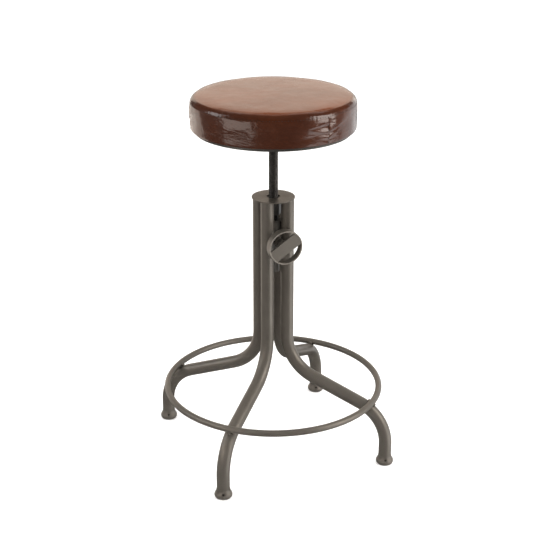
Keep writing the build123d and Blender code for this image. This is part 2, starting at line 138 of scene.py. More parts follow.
def combine(tree, operation, first, second=0.0):
    """One step of arithmetic on numbers or sockets, in a finish or a geometry tree."""
    maths = tree.nodes.new("ShaderNodeMath")
    maths.operation = operation
    for socket, value in zip(maths.inputs, (first, second)):
        if isinstance(value, (int, float)):
            socket.default_value = value
        else:
            tree.links.new(value, socket)
    return maths.outputs[0]


def tones(tree, source, *stops):
    """A colour ramp: each stop is a place from 0 to 1 and a colour."""
    ramp = tree.nodes.new("ShaderNodeValToRGB")
    while len(ramp.color_ramp.elements) < len(stops):
        ramp.color_ramp.elements.new(0.5)
    for element, (place, colour) in zip(ramp.color_ramp.elements, stops):
        element.position = place
        element.color = (*colour, 1.0)
    tree.links.new(source, ramp.inputs["Fac"])
    return ramp.outputs["Color"]


def tint(tree, share, under, over):
    """Lay one colour over another by a share from 0 to 1."""
    mix = tree.nodes.new("ShaderNodeMix")
    mix.data_type = "RGBA"
    for socket, value in ((mix.inputs[0], share), (mix.inputs[6], under), (mix.inputs[7], over)):
        if isinstance(value, (int, float)):
            socket.default_value = value
        elif isinstance(value, tuple):
            socket.default_value = (*value, 1.0)
        else:
            tree.links.new(value, socket)
    return mix.outputs[2]


def mesh_value(tree, name):
    """A number that each point of the mesh carries as an attribute."""
    reader = tree.nodes.new("ShaderNodeAttribute")
    reader.attribute_name = name
    return reader.outputs["Fac"]


def paint(tree, colour, skin):
    """Give the shader its colour from a socket."""
    tree.links.new(colour, skin.inputs["Base Color"])


def relief(tree, skin, height, depth, under=None):
    """Bump of a real depth in metres, on top of an earlier bump where there is one."""
    bump = tree.nodes.new("ShaderNodeBump")
    bump.inputs["Distance"].default_value = depth
    tree.links.new(height, bump.inputs["Height"])
    if under is not None:
        tree.links.new(under, bump.inputs["Normal"])
    tree.links.new(bump.outputs["Normal"], skin.inputs["Normal"])
    return bump.outputs["Normal"]


# %% [markdown]
# ## Painted tube
# The frame has a satin coat, a warm grey between gunmetal and brown. Up close such a coat has
# an orange peel of under a millimetre, and its sheen is a little uneven from hand to hand.
# One grey with one roughness would look like plastic, so slow noise moves the tone and the
# roughness, and a fine one makes the peel.

# %% Frame paint
def painted_metal(name, dark, light, roughness, metallic):
    """A satin coat with drifting tone and sheen, flecks and orange peel."""
    finish, tree, skin = new_finish(name, metallic=metallic)
    where = place_on_stool(tree)
    cloud = grain(tree, where, 11.0, detail=5.0)
    fleck = grain(tree, where, 2600.0, detail=1.0)
    colour = tones(tree, spread(tree, cloud, 0.3, 0.7), (0.0, dark), (1.0, light))
    bright = tuple(1.5 * c for c in light)
    paint(tree, tint(tree, spread(tree, fleck, 0.35, 0.75, 0.0, 0.35), colour, bright), skin)
    sheen = grain(tree, where, 38.0, detail=4.0)
    sheen = spread(tree, sheen, 0.3, 0.7, roughness - 0.05, roughness + 0.06)
    tree.links.new(sheen, skin.inputs["Roughness"])
    peel = relief(tree, skin, grain(tree, where, 620.0, detail=2.0), 0.00006)
    relief(tree, skin, cloud, 0.0004, under=peel)
    return finish


frame_paint = painted_metal("frame_paint", (0.094, 0.084, 0.071), (0.121, 0.109, 0.092),
                            roughness=0.37, metallic=0.42)
pan_paint = painted_metal("pan_paint", (0.040, 0.038, 0.034), (0.060, 0.057, 0.052),
                          roughness=0.42, metallic=0.40)
print("painted finishes:", frame_paint.name, pan_paint.name)


# %% [markdown]
# ## Rubbed, highlighted and rippled paint
# The two edges of the wheel's band are painted lighter: partly paint that hands rub thin,
# partly a painted highlight along the edges. The welds under the paint are rippled. Both are
# copies of the frame's paint with one thing changed. Where the wheel's edges are lightened
# comes from the Y coordinate, because its band lies between two values of Y.

# %% Paint on the hand wheel and on the welds
def paint_copy(name):
    """A copy of the frame's paint, with its tree and its shader."""
    finish = frame_paint.copy()
    finish.name = name
    tree = finish.node_tree
    return finish, tree, next(n for n in tree.nodes if n.type == "BSDF_PRINCIPLED")


rub_and_highlight_width = 0.0013  # in from each edge of the band
wheel_low, wheel_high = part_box("wheel_rim")
wheel_paint, tree, skin = paint_copy("wheel_paint")
where = place_on_stool(tree)
split = tree.nodes.new("ShaderNodeSeparateXYZ")
tree.links.new(where, split.inputs["Vector"])
depth = split.outputs["Y"]
# The band's two edges are painted lighter: paint rubbed thin, and a painted highlight along each
# edge.
at_front = spread(tree, depth, wheel_low.y, wheel_low.y + rub_and_highlight_width, 1.0, 0.0)
at_back = spread(tree, depth, wheel_high.y - rub_and_highlight_width, wheel_high.y, 0.0, 1.0)
rub = combine(tree, "MULTIPLY", combine(tree, "MAXIMUM", at_front, at_back),
              spread(tree, grain(tree, where, 140.0), 0.3, 0.7, 0.35, 0.9))
coat = skin.inputs["Base Color"].links[0].from_socket
paint(tree, tint(tree, rub, coat, (0.26, 0.24, 0.21)), skin)

weld_paint, tree, skin = paint_copy("weld_paint")
relief(tree, skin, cells(tree, place_on_stool(tree), 420.0, "F1"), 0.0009)
print("rubbed and rippled finishes:", wheel_paint.name, weld_paint.name)

# %% [markdown]
# ## Bare and blackened steel
# The spindle and the lock screw are blackened, and the crests of their threads are rubbed
# bright where they run in the nuts. The thread meshes, made further down, carry an attribute
# named crest, which is 1 on the crest and 0 in the root, so the wear follows the helix.

# %% Thread steel
spindle_steel, tree, skin = new_finish("spindle_steel", metallic=0.6)
where = place_on_stool(tree)
rub = combine(tree, "MULTIPLY", spread(tree, mesh_value(tree, "crest"), 0.75, 1.0),
              spread(tree, grain(tree, where, 160.0), 0.35, 0.7, 0.25, 1.0))
oxide = tones(tree, grain(tree, where, 420.0),
              (0.3, (0.026, 0.0250, 0.0240)), (0.7, (0.048, 0.0455, 0.0430)))
paint(tree, tint(tree, rub, oxide, (0.150, 0.144, 0.136)), skin)
tree.links.new(spread(tree, rub, 0.0, 1.0, 0.50, 0.30), skin.inputs["Roughness"])
relief(tree, skin, grain(tree, where, 1500.0), 0.00003)
print("thread finish:", spindle_steel.name)


# %% Plain steel and brass
def turned_metal(name, dark, light, roughness, stretch, metallic=0.95):
    """Metal with the fine lines that a lathe or a drawing die leaves."""
    finish, tree, skin = new_finish(name, metallic=metallic)
    lines = grain(tree, place_on_stool(tree, stretch), 900.0, detail=2.0)
    stain = grain(tree, place_on_stool(tree), 55.0, detail=4.0)
    paint(tree, tones(tree, spread(tree, stain, 0.3, 0.7), (0.0, dark), (1.0, light)), skin)
    sheen = spread(tree, lines, 0.3, 0.7, roughness - 0.08, roughness + 0.10)
    tree.links.new(sheen, skin.inputs["Roughness"])
    relief(tree, skin, lines, 0.00004)
    return finish


upright, along_y = (1, 1, 4), (1, 6, 1)  # how the lines run
dark_steel = turned_metal("dark_steel", (0.050, 0.047, 0.043), (0.080, 0.075, 0.068), 0.42,
                          upright, metallic=0.5)
screw_steel = turned_metal("screw_steel", (0.060, 0.056, 0.050), (0.090, 0.084, 0.075), 0.44,
                           upright)
sleeve_steel = turned_metal("sleeve_steel", (0.105, 0.097, 0.085), (0.140, 0.129, 0.113), 0.42,
                            upright, metallic=0.3)
pad_brass = turned_metal("pad_brass", (0.50, 0.34, 0.11), (0.66, 0.48, 0.19), 0.30, along_y)
staple_wire = turned_metal("staple_wire", (0.42, 0.42, 0.43), (0.60, 0.60, 0.61), 0.28,
                           (1, 1, 3))
metals = (dark_steel, screw_steel, sleeve_steel, pad_brass, staple_wire)
print("metal finishes:", [metal.name for metal in metals])

# %% [markdown]
# ## Plastic, plywood and foam
# These three hardly show: the glides are a dark line under the feet, and the board and the
# foam are inside the seat. They still get what makes them recognisable, because someone may
# take the seat apart: a moulded grain, glued plies seen on the edge, and open foam cells.

# %% Glide plastic
glide_plastic, tree, skin = new_finish("glide_plastic")
where = place_on_stool(tree)
paint(tree, tones(tree, grain(tree, where, 300.0),
                  (0.3, (0.012, 0.012, 0.012)), (0.7, (0.024, 0.023, 0.022))), skin)
sheen = spread(tree, grain(tree, where, 90.0), 0.3, 0.7, 0.5, 0.66)
tree.links.new(sheen, skin.inputs["Roughness"])
relief(tree, skin, grain(tree, where, 1800.0), 0.00008)
print("plastic finish:", glide_plastic.name)

# %% Plywood
seat_plywood, tree, skin = new_finish("seat_plywood", roughness=0.62)
where = place_on_stool(tree)
ply = tree.nodes.new("ShaderNodeTexWave")
ply.bands_direction = "Z"
ply.inputs["Scale"].default_value = 105.0
ply.inputs["Distortion"].default_value = 0.5
tree.links.new(where, ply.inputs["Vector"])
fibre = grain(tree, place_on_stool(tree, (1, 14, 14)), 22.0, detail=6.0)
layers = tones(tree, ply.outputs["Fac"], (0.2, (0.36, 0.22, 0.11)), (0.6, (0.62, 0.45, 0.27)))
streak = spread(tree, fibre, 0.35, 0.65, 0.0, 0.6)
paint(tree, tint(tree, streak, layers, (0.45, 0.29, 0.15)), skin)
relief(tree, skin, fibre, 0.0003)
print("wood finish:", seat_plywood.name)

# %% Foam
seat_foam, tree, skin = new_finish("seat_foam", roughness=0.9)
where = place_on_stool(tree)
pore = cells(tree, where, 900.0)
paint(tree, tones(tree, spread(tree, pore, 0.0, 0.25),
                  (0.0, (0.40, 0.34, 0.20)), (1.0, (0.78, 0.71, 0.50))), skin)
relief(tree, skin, pore, 0.0006)
print("foam finish:", seat_foam.name)

# %% [markdown]
# ## Leather
# The seat is a waxed cognac leather with a hard shine. Three things make it leather: a slow
# drift between orange brown and near black, fine creases that run every way, painted lighter
# as a painted highlight where they catch the light, and a grain of small cells. The shine is a
# coat on top, smoother than the hide below.
# The cushion's mesh carries two attributes: seam darkens the hide along the sewing, and the
# other lightens the top and the first part of the shoulder: partly wear where people sit,
# partly a painted sheen that rolls over the shoulder.

# %% Colour of the leather
cognac_leather, tree, skin = new_finish("cognac_leather", coat_weight=1.0, coat_roughness=0.12,
                                        coat_ior=1.45, specular_ior_level=0.12)
where = place_on_stool(tree)
drift = grain(tree, where, 9.0, detail=6.0, roughness=0.6)
hide = tones(tree, spread(tree, drift, 0.28, 0.72), (0.0, (0.031, 0.0076, 0.0026)),
             (0.5, (0.045, 0.0113, 0.0037)), (1.0, (0.067, 0.0178, 0.0058)))
crease = grain(tree, place_on_stool(tree, (1.0, 1.0, 2.2)), 21.0, detail=5.0, roughness=0.6,
               distortion=0.8)
crease = combine(tree, "ABSOLUTE", combine(tree, "SUBTRACT", crease, 0.5))
crease = combine(tree, "MULTIPLY", spread(tree, crease, 0.0, 0.012, 1.0, 0.0),
                 spread(tree, grain(tree, where, 17.0, detail=2.0), 0.45, 0.62))
# Creases painted lighter: a painted highlight along them.
hide = tint(tree, combine(tree, "MULTIPLY", crease, 0.20), hide, (0.105, 0.034, 0.014))
# Lighter top: wear where people sit, and a painted sheen over the first part of the shoulder.
wear_and_sheen = combine(tree, "MULTIPLY", mesh_value(tree, "wear_and_sheen"),
               spread(tree, drift, 0.32, 0.68, 0.44, 0.66))
hide = tint(tree, wear_and_sheen, hide, (0.245, 0.068, 0.025))
sewn_dark = combine(tree, "MULTIPLY", mesh_value(tree, "seam"), 0.55)
hide = tint(tree, sewn_dark, hide, (0.016, 0.0055, 0.0030))
paint(tree, hide, skin)
print("leather colour made by", len(tree.nodes), "nodes")

# %% Shine and relief of the leather
wax = spread(tree, grain(tree, where, 30.0, detail=5.0), 0.3, 0.7, 0.34, 0.46)
tree.links.new(wax, skin.inputs["Roughness"])
pebble = relief(tree, skin, cells(tree, where, 620.0), 0.00002)
creased = relief(tree, skin, crease, -0.00010, under=pebble)
waves = grain(tree, place_on_stool(tree, (1, 1, 2.0)), 34.0, detail=4.0, distortion=0.8)
waved = relief(tree, skin, waves, 0.0007, under=creased)
tree.links.new(waved, skin.inputs["Coat Normal"])
print("leather finish:", cognac_leather.name)

# %% Sewing thread
seat_thread, tree, skin = new_finish("seat_thread", roughness=0.6)
where = place_on_stool(tree)
paint(tree, tones(tree, grain(tree, where, 700.0),
                  (0.3, (0.010, 0.006, 0.004)), (0.7, (0.030, 0.017, 0.011))), skin)
relief(tree, skin, grain(tree, place_on_stool(tree, (1, 1, 3)), 2200.0), 0.0001)
print("thread finish:", seat_thread.name)

# %% [markdown]
# ## Finishes on the CAD pieces
# The record of the CAD model names a material slot for each node. One dictionary from slot to
# finish is enough to dress them, with a second one for the few nodes that look a little
# different. A node that is replaced later does no harm here.

# %% Dress the CAD pieces
finish_of_slot = {
    "frame_paint": frame_paint, "dark_steel": dark_steel, "black_steel": spindle_steel,
    "seat_metal": pan_paint, "glide_plastic": glide_plastic, "brass": pad_brass,
    "plywood": seat_plywood, "leather": cognac_leather, "foam": seat_foam,
    "staple_steel": staple_wire,
}
own_finish = {
    "wheel_rim": wheel_paint, "footrest_welds": weld_paint, "foot_screws": screw_steel,
    "guide_sleeve": sleeve_steel, "guide_collar": sleeve_steel,
}
for subpart in frame["record"]["subparts"]:
    node, slot = subpart["node"], subpart["material_slot"]
    mesh = nodes[node].data
    mesh.materials.clear()
    mesh.materials.append(own_finish.get(node, finish_of_slot[slot]))

# %% [markdown]
# ## The cushion's form
# The seat is a drum: a crowned top, a rounded shoulder, a seam round the shoulder's foot, and
# a side band of three panels with an upright seam between each two. A mesh that is turned
# about the axis would have a pole in the middle of the top, where cloth creases badly. So the
# top is a square grid that is squeezed into a disc, and its border runs on down the side.

# %% Sizes of the cushion, from the CAD nodes
top_low, top_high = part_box("cover_top")
side_boxes = [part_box(f"cover_side_{n}") for n in ("front", "right", "back")]
side_low = min(low.z for low, _ in side_boxes)
widest = max(max(high.y, -low.x) for low, high in side_boxes)
widest_height = side_low + 0.0372  # where the side is widest
crown_top = top_high.z
crown_rise = 0.0035  # of the middle of the top above the shoulder
seam_height = top_low.z
seam_radius = top_high.x
shoulder_radius = 0.0095
shoulder_centre = seam_radius - shoulder_radius
side_curve = 0.32  # radius of the side's bulge, flatter than in the CAD solid
side_seams = [math.radians(b) for b in (287.0, 47.0, 167.0)]
print("cushion from", round(side_low, 4), "to", round(crown_top, 4), "radius", round(widest, 4))


# %% A grid squeezed into a disc
def disc_grid(count, turn):
    """Unit disc of count by count quads. Returns points, quads and the border's point numbers."""
    points = []
    for j in range(count + 1):
        for i in range(count + 1):
            a, b = 2 * i / count - 1, 2 * j / count - 1
            if abs(a) < 1e-9 and abs(b) < 1e-9:
                points.append((0.0, 0.0))
                continue
            if abs(a) >= abs(b):
                reach, angle = a, math.pi / 4 * b / a
            else:
                reach, angle = b, math.pi / 2 - math.pi / 4 * a / b
            points.append((reach * math.cos(angle + turn), reach * math.sin(angle + turn)))
    row = count + 1
    quads = [(j * row + i, j * row + i + 1, (j + 1) * row + i + 1, (j + 1) * row + i)
             for j in range(count) for i in range(count)]
    border = list(range(row)) + [j * row + count for j in range(1, row)]
    border += [count * row + i for i in range(count - 1, -1, -1)]
    border += [j * row for j in range(count - 1, 0, -1)]
    return np.array(points), quads, border


def side_reach(height):
    """Radius of the bulging side at a height."""
    return widest - side_curve + math.sqrt(side_curve**2 - (height - widest_height) ** 2)


def add_piece(name, data):
    """Put a mesh or a light in the scene as an object at the origin."""
    piece = bpy.data.objects.new(name, data)
    scene.collection.objects.link(piece)
    return piece


def carry(mesh, name, values):
    """Give each point of the mesh a number that its finish can read."""
    attribute = mesh.attributes.new(name, "FLOAT", "POINT")
    attribute.data.foreach_set("value", values.astype(np.float32))


print("side from radius", round(side_reach(side_low), 4), "to", round(side_reach(seam_height), 4))


# %% Rings of the drum, from the top down
grid_count = 72  # quads along each side of the squeezed grid
core_share = 0.55  # the grid fills this much of the top, and rings fill the rest
top_rings, shoulder_rings, side_rings = 18, 6, 20
swell = 0.0012  # the drum starts this much smaller, because the padding swells it
disc, disc_quads, border = disc_grid(grid_count, math.radians(0.75))
rim = disc[border]
core = core_share * shoulder_centre


def crown(square):
    """Height of the top, from the square of the share of the way to the shoulder."""
    return crown_top - swell - crown_rise * square


top = np.column_stack([disc * core, crown((disc**2).sum(1) * (core / shoulder_centre) ** 2)])
rings = [(reach, crown((reach / shoulder_centre) ** 2))
         for reach in np.linspace(core, shoulder_centre, top_rings + 1)[1:]]
for step in range(1, shoulder_rings + 1):
    lean = math.radians(90 - 90 / shoulder_rings * step)
    rings.append((shoulder_centre + shoulder_radius * math.cos(lean),
                  seam_height + shoulder_radius * math.sin(lean)))
seam_ring = len(rings) - 1
for step in range(1, side_rings + 1):
    height = seam_height + (side_low - seam_height) * step / side_rings
    rings.append((side_reach(height) - swell * math.sin(math.pi * step / side_rings), height))
foot_ring = len(rings) - 1
print("drum of", len(rings), "rings below a grid of", len(disc_quads), "quads")

# %% Drum mesh
first_ring, columns = len(top), len(border)
points = [tuple(p) for p in top]
faces = list(disc_quads)
before = border
for reach, height in rings:
    now = list(range(len(points), len(points) + columns))
    points += [(reach * x, reach * y, height) for x, y in rim]
    faces += [(before[k], now[k], now[(k + 1) % columns], before[(k + 1) % columns])
              for k in range(columns)]
    before = now
foot_radius = rings[-1][0]
inner = {}
for k, (x, y) in enumerate(disc):
    if k in border:
        inner[k] = before[border.index(k)]
    else:
        inner[k] = len(points)
        points.append((x * foot_radius, y * foot_radius, side_low))
faces += [tuple(inner[k] for k in reversed(quad)) for quad in disc_quads]
drum_mesh = bpy.data.meshes.new("drum")
drum_mesh.from_pydata(points, [], faces)
drum = add_piece("drum", drum_mesh)
print("drum of", len(points), "points and", len(faces), "quads")

# %% [markdown]
# ## Padding the drum
# A foam block pushes the leather out everywhere but where it is sewn upright or stapled under
# the board. Blender's Cloth does that with pressure: the upright seams, the foot of the side and
# the bottom are pinned, and twenty frames let the rest settle. The round seam isn't pinned,
# because it moves out with the foam. Thin cloth buckles in ways that thick leather can't, so
# the movement is smoothed along the mesh, and a cap on it keeps a surprise in the simulation
# from spoiling the seat.

# %% Pin the upright seams, the foot and the bottom
def ring_points(number):
    """Point numbers of one ring of the drum."""
    return range(first_ring + number * columns, first_ring + (number + 1) * columns)


column_angle = np.arctan2(rim[:, 1], rim[:, 0])
seam_columns = [int(np.argmin(np.abs(np.angle(np.exp(1j * (column_angle - angle))))))
                for angle in side_seams]
sewn = set(ring_points(foot_ring)) | set(range(first_ring + len(rings) * columns, len(points)))
for number in range(seam_ring, foot_ring + 1):
    sewn |= {ring_points(number)[k] for k in seam_columns}
drum.vertex_groups.new(name="sewn").add(sorted(sewn), 1.0, "REPLACE")
print("pinned", len(sewn), "of", len(points), "points")

# %% Let the padding swell
stuffing = {
    "quality": 6, "mass": 0.3, "tension_stiffness": 25.0, "compression_stiffness": 2.0,
    "shear_stiffness": 12.0, "bending_stiffness": 6.0, "use_pressure": True,
    "uniform_pressure_force": 4.0, "vertex_group_mass": "sewn",
}


def settle(piece, frames):
    """Where Cloth takes the points of the piece in a number of frames."""
    cloth = piece.modifiers.new("padding", "CLOTH")
    for setting, value in stuffing.items():
        setattr(cloth.settings, setting, value)
    cloth.settings.effector_weights.gravity = 0.0
    cloth.collision_settings.use_collision = False
    cloth.point_cache.frame_end = frames
    for number in range(1, frames + 1):
        scene.frame_set(number)
    graph = bpy.context.evaluated_depsgraph_get()
    settled = np.array([v.co for v in piece.evaluated_get(graph).data.vertices])
    piece.modifiers.remove(cloth)
    scene.frame_set(1)
    return settled


def pad_out(piece, frames=20, smoothing=40, most=0.004):
    """Move the piece as Cloth does, with its buckles smoothed out and a cap on the movement."""
    start = np.array([v.co for v in piece.data.vertices])
    move = settle(piece, frames) - start
    ends = np.array([e.vertices for e in piece.data.edges])
    degree = np.bincount(ends.ravel(), minlength=len(start))[:, None]
    fixed = np.array(sorted(sewn))
    for _ in range(smoothing):
        total = np.zeros_like(move)
        np.add.at(total, ends[:, 0], move[ends[:, 1]])
        np.add.at(total, ends[:, 1], move[ends[:, 0]])
        move = total / degree
        move[fixed] = 0.0
    length = np.linalg.norm(move, axis=1)
    move *= np.minimum(1.0, most / np.maximum(length, 1e-9))[:, None]
    piece.data.vertices.foreach_set("co", (start + move).ravel())
    piece.data.update()
    return length


moved = 1000 * pad_out(drum)
print("padding moved the leather by", round(float(moved.mean()), 2), "mm, at most",
      round(float(moved.max()), 2))

# %% [markdown]
# ## Seams, puckers and creases
# After the padding the mesh is divided once more, so that it can carry a fold a few
# millimetres wide. A seam pulls the leather in along a line. Beside the upright seams the
# leather is gathered: ridges fan out from the stitches and die away over a few centimetres.
# The seam itself goes up and down with them, because it is sewn to both panels.
# Each of these is a height above the smooth form, added along the surface's own normal.

# %% Divide once more
divide = drum.modifiers.new("divide", "SUBSURF")
divide.levels = divide.render_levels = 1
graph = bpy.context.evaluated_depsgraph_get()
cushion_mesh = bpy.data.meshes.new_from_object(drum.evaluated_get(graph))
bpy.data.objects.remove(drum)
cushion_mesh.name = "cushion"
cushion = add_piece("cushion", cushion_mesh)
print("cushion of", len(cushion_mesh.vertices), "points")


# %% Soft noise, and folds that leave a seam
def smooth_noise(points, seed, size):
    """Soft random heights from nine waves in fixed directions, about -1 to 1."""
    dice = np.random.default_rng(seed)
    total = np.zeros(len(points))
    for _ in range(9):
        direction = dice.normal(size=3)
        direction *= dice.uniform(0.6, 1.5) / (np.linalg.norm(direction) * size) * 2 * math.pi
        total += np.sin(points @ direction + dice.uniform(0, 2 * math.pi))
    return total / 4.5


# Each fold: where it leaves the seam above the seat's foot, its slope, its length, its width
# upwards and downwards, and its height, all but the slope in millimetres. The first list is
# for the side that the bearing grows to, the second for the other one.
folds_after = [(31, 0.30, 38, 14, 2.6, 2.4), (18, 0.42, 34, 6.0, 6.0, 1.5),
               (8, 0.0, 16, 4.0, 4.0, 0.6)]
folds_before = [(41, -0.10, 30, 9.0, 2.4, 2.0), (27, 0.22, 32, 6.0, 2.4, 1.7),
                (15, 0.10, 18, 5.0, 3.0, 1.1), (24, -0.16, 70, 1.8, 1.8, -0.5)]
fan_out = 0.080  # a fold is twice as wide this far from its seam


def pucker(along, height, folds, seed):
    """Folds that leave an upright seam where along is positive, each varied a little."""
    dice = np.random.default_rng(seed)
    out = np.maximum(along, 0)
    total = np.zeros(len(along))
    for root, slope, long, up, down, rise in folds:
        root, long, rise = (v * dice.uniform(0.85, 1.15) / 1000 for v in (root, long, rise))
        above = height - root - slope * out
        across = above / (np.where(above > 0, up, down) / 1000 * (1 + out / fan_out))
        total += rise * np.exp(-((out / long) ** 1.5)) * np.exp(-(across**2))
    return total


def near(distance, width):
    """1 on a line, and falling to nothing over about twice the width beside it."""
    return np.exp(-((distance / width) ** 2))


print("folds at each upright seam:", len(folds_after) + len(folds_before))

# %% Seam lines and puckers
co = np.array([v.co for v in cushion_mesh.vertices])
normal = np.array([v.normal for v in cushion_mesh.vertices])
radius = np.hypot(co[:, 0], co[:, 1])
bearing = np.arctan2(co[:, 1], co[:, 0])
height = co[:, 2] - side_low
over_seam = co[:, 2] - seam_height
side_from, side_blend = 0.160, 0.006  # from this radius a point belongs to the side
on_side = np.clip((radius - side_from) / side_blend, 0, 1) * (height > 0.0005)
below_seam = on_side * np.clip((0.001 - over_seam) / 0.002, 0, 1)
ring_groove, ring_width, ring_stain = 0.0003, 0.0022, 0.0016
seam_groove, seam_width, seam_stain = 0.0006, 0.0013, 0.0012
change_over = 0.004  # the folds of one side of a seam pass into those of the other
to_ring = np.abs(over_seam) * on_side + (1 - on_side)
lift = -ring_groove * near(to_ring, ring_width) * on_side
sewing = 0.25 * near(to_ring, ring_stain) * on_side
for number, angle in enumerate(side_seams):
    along = seam_radius * np.angle(np.exp(1j * (bearing - angle)))
    deep = np.clip((height - 0.004) / 0.012, 0.2, 1)
    lift -= seam_groove * near(along, seam_width) * below_seam * deep
    sewing += 0.5 * near(along, seam_stain) * below_seam
    after = np.clip(along / change_over + 0.5, 0, 1)
    folded = after * pucker(along, height, folds_after, 11 + number)
    folded += (1 - after) * pucker(-along, height, folds_before, 21 + number)
    lift += folded * below_seam
print("seam lines drawn on", int((sewing > 0.5).sum()), "points")

# %% Gathers under the shoulder, slow waves, and the edge of the top
gather = np.sin(bearing * 118 + 2.2 * smooth_noise(co, 5, 0.09))
gather *= 0.5 + 0.5 * smooth_noise(co, 6, 0.12)
lift += 0.00012 * gather * near(over_seam, 0.006) * on_side
lift += 0.00045 * smooth_noise(co * (1, 1, 1.4), 7, 0.055) * below_seam
lift += 0.00008 * smooth_noise(co * (1, 1, 2.5), 9, 0.016) * below_seam
on_top = over_seam > 0
lift += 0.00012 * smooth_noise(co, 8, 0.085) * (1 - on_side) * on_top
# The stuffing is thinner towards the edge of the top, and more so at two sides of it
thin_from, thin_side = 0.132, math.radians(248)
sunk = 0.0020 * (1 - 0.35 * np.cos(2 * (bearing - thin_side)))
sunk *= np.clip(over_seam / shoulder_radius, 0, 1)
lift -= sunk * np.clip((radius - thin_from) / (shoulder_centre - thin_from), 0, 1) ** 2
print("relief from", round(1000 * float(lift.min()), 2), "to",
      round(1000 * float(lift.max()), 2), "mm")

# %% Shape and dress the cushion
# Where the top is painted lighter: wear where people sit, and a painted sheen over the first part
# of the shoulder.
sat_on_and_sheen = np.clip((shoulder_centre + 0.0045 - radius) / 0.009, 0, 1) * on_top
cushion_mesh.vertices.foreach_set("co", (co + normal * lift[:, None]).ravel())
cushion_mesh.update()
carry(cushion_mesh, "seam", np.clip(sewing, 0, 1))
carry(cushion_mesh, "wear_and_sheen", sat_on_and_sheen)
cushion_mesh.materials.clear()
cushion_mesh.materials.append(cognac_leather)
cushion_mesh.shade_smooth()
print("cushion with attributes", [a.name for a in cushion_mesh.attributes][-2:])

# %% [markdown]
# ## Helpers for Geometry Nodes
# What repeats, or follows a path, is made by Geometry Nodes: a tree of nodes takes a line and
# returns stitches or a thread. The tree's sizes are named inputs. When the piece is done, its
# mesh is read back as a plain mesh, so that nothing depends on the tree any more.

# %% Tree helpers
def new_tree(name, **sizes):
    """An empty tree with a geometry input, a geometry output and named sizes."""
    tree = bpy.data.node_groups.new(name, "GeometryNodeTree")
    tree.interface.new_socket("Geometry", in_out="INPUT", socket_type="NodeSocketGeometry")
    for size, value in sizes.items():
        socket = tree.interface.new_socket(size, in_out="INPUT", socket_type="NodeSocketFloat")
        socket.default_value = value
    tree.interface.new_socket("Geometry", in_out="OUTPUT", socket_type="NodeSocketGeometry")
    return tree, tree.nodes.new("NodeGroupInput").outputs, tree.nodes.new("NodeGroupOutput").inputs


def put(tree, kind, **values):
    """A node with its inputs set: a number, a vector, or a socket to link from."""
    made = tree.nodes.new(kind)
    for socket, value in values.items():
        target = made.inputs[socket.replace("_", " ")]
        if isinstance(value, bpy.types.NodeSocket):
            tree.links.new(value, target)
        else:
            target.default_value = value
    return made


def line_object(name, paths, closed):
    """A mesh of edges along one or more lists of points."""
    points, edges = [], []
    for path in paths:
        start = len(points)
        points += [tuple(p) for p in path]
        edges += [(start + k, start + k + 1) for k in range(len(path) - 1)]
        if closed:
            edges.append((start + len(path) - 1, start))
    mesh = bpy.data.meshes.new(name)
    mesh.from_pydata(points, edges, [])
    return add_piece(name, mesh)


def close_tree(tree, result, geometry, finish):
    """Make the tree's copies real, dress them, and hand them to its output."""
    real = put(tree, "GeometryNodeRealizeInstances", Geometry=geometry)
    dressed = put(tree, "GeometryNodeSetMaterial", Geometry=real.outputs["Geometry"],
                  Material=finish)
    tree.links.new(dressed.outputs["Geometry"], result["Geometry"])
    print(tree.name, "tree with", len(tree.nodes), "nodes")


def bake_tree(piece, tree, **sizes):
    """Run the tree on the piece with these sizes, and keep the result as its plain mesh."""
    modifier = piece.modifiers.new("tree", "NODES")
    modifier.node_group = tree
    for socket in tree.interface.items_tree:
        if socket.in_out == "INPUT" and socket.name in sizes:
            modifier[socket.identifier] = sizes[socket.name]
    graph = bpy.context.evaluated_depsgraph_get()
    mesh = bpy.data.meshes.new_from_object(piece.evaluated_get(graph))
    piece.modifiers.clear()
    piece.data = mesh
    mesh.name = piece.name
    return piece


# %% [markdown]
# ## Stitches
# The sewing shows as dark stitches: coarse ones, eight and a half millimetres apart, down each
# upright seam, and finer ones, six apart, round the shoulder's foot. Each could be modelled by
# hand, but they only differ in place. So lines are laid on the finished leather by casting rays
# at it, and one tree puts a small lozenge of thread at every step along them.

# %% Stitch tree
stitch_tree, sizes, result = new_tree("stitch row", Pitch=0.0062, Length=0.0030, Thickness=0.0009)
row = put(stitch_tree, "GeometryNodeMeshToCurve", Mesh=sizes["Geometry"])
steps = put(stitch_tree, "GeometryNodeResampleCurve", Curve=row.outputs["Curve"])
steps.mode = "LENGTH"
stitch_tree.links.new(sizes["Pitch"], steps.inputs["Length"])
bead = put(stitch_tree, "GeometryNodeMeshUVSphere", Segments=6, Rings=4, Radius=0.5)
shape = put(stitch_tree, "ShaderNodeCombineXYZ", X=sizes["Thickness"], Y=sizes["Thickness"],
            Z=sizes["Length"])
tangent = put(stitch_tree, "GeometryNodeInputTangent")
aim = put(stitch_tree, "FunctionNodeAlignRotationToVector", Vector=tangent.outputs["Tangent"])
aim.axis = "Z"
sown = put(stitch_tree, "GeometryNodeInstanceOnPoints", Points=steps.outputs["Curve"],
           Instance=bead.outputs["Mesh"], Rotation=aim.outputs["Rotation"],
           Scale=shape.outputs["Vector"])
close_tree(stitch_tree, result, sown.outputs["Instances"], seat_thread)

# %% Sew the seat
bare = BVHTree.FromPolygons([tuple(v.co) for v in cushion_mesh.vertices],
                            [tuple(p.vertices) for p in cushion_mesh.polygons])
proud = 0.0002  # the middle of a stitch lies this far out of the leather


def on_leather(angle, height):
    """Point just out of the leather at a bearing and a height."""
    out = Vector((math.cos(angle), math.sin(angle), 0.0))
    hit, facing, _, _ = bare.ray_cast(out * 0.3 + Vector((0, 0, height)), -out)
    return hit + facing * proud


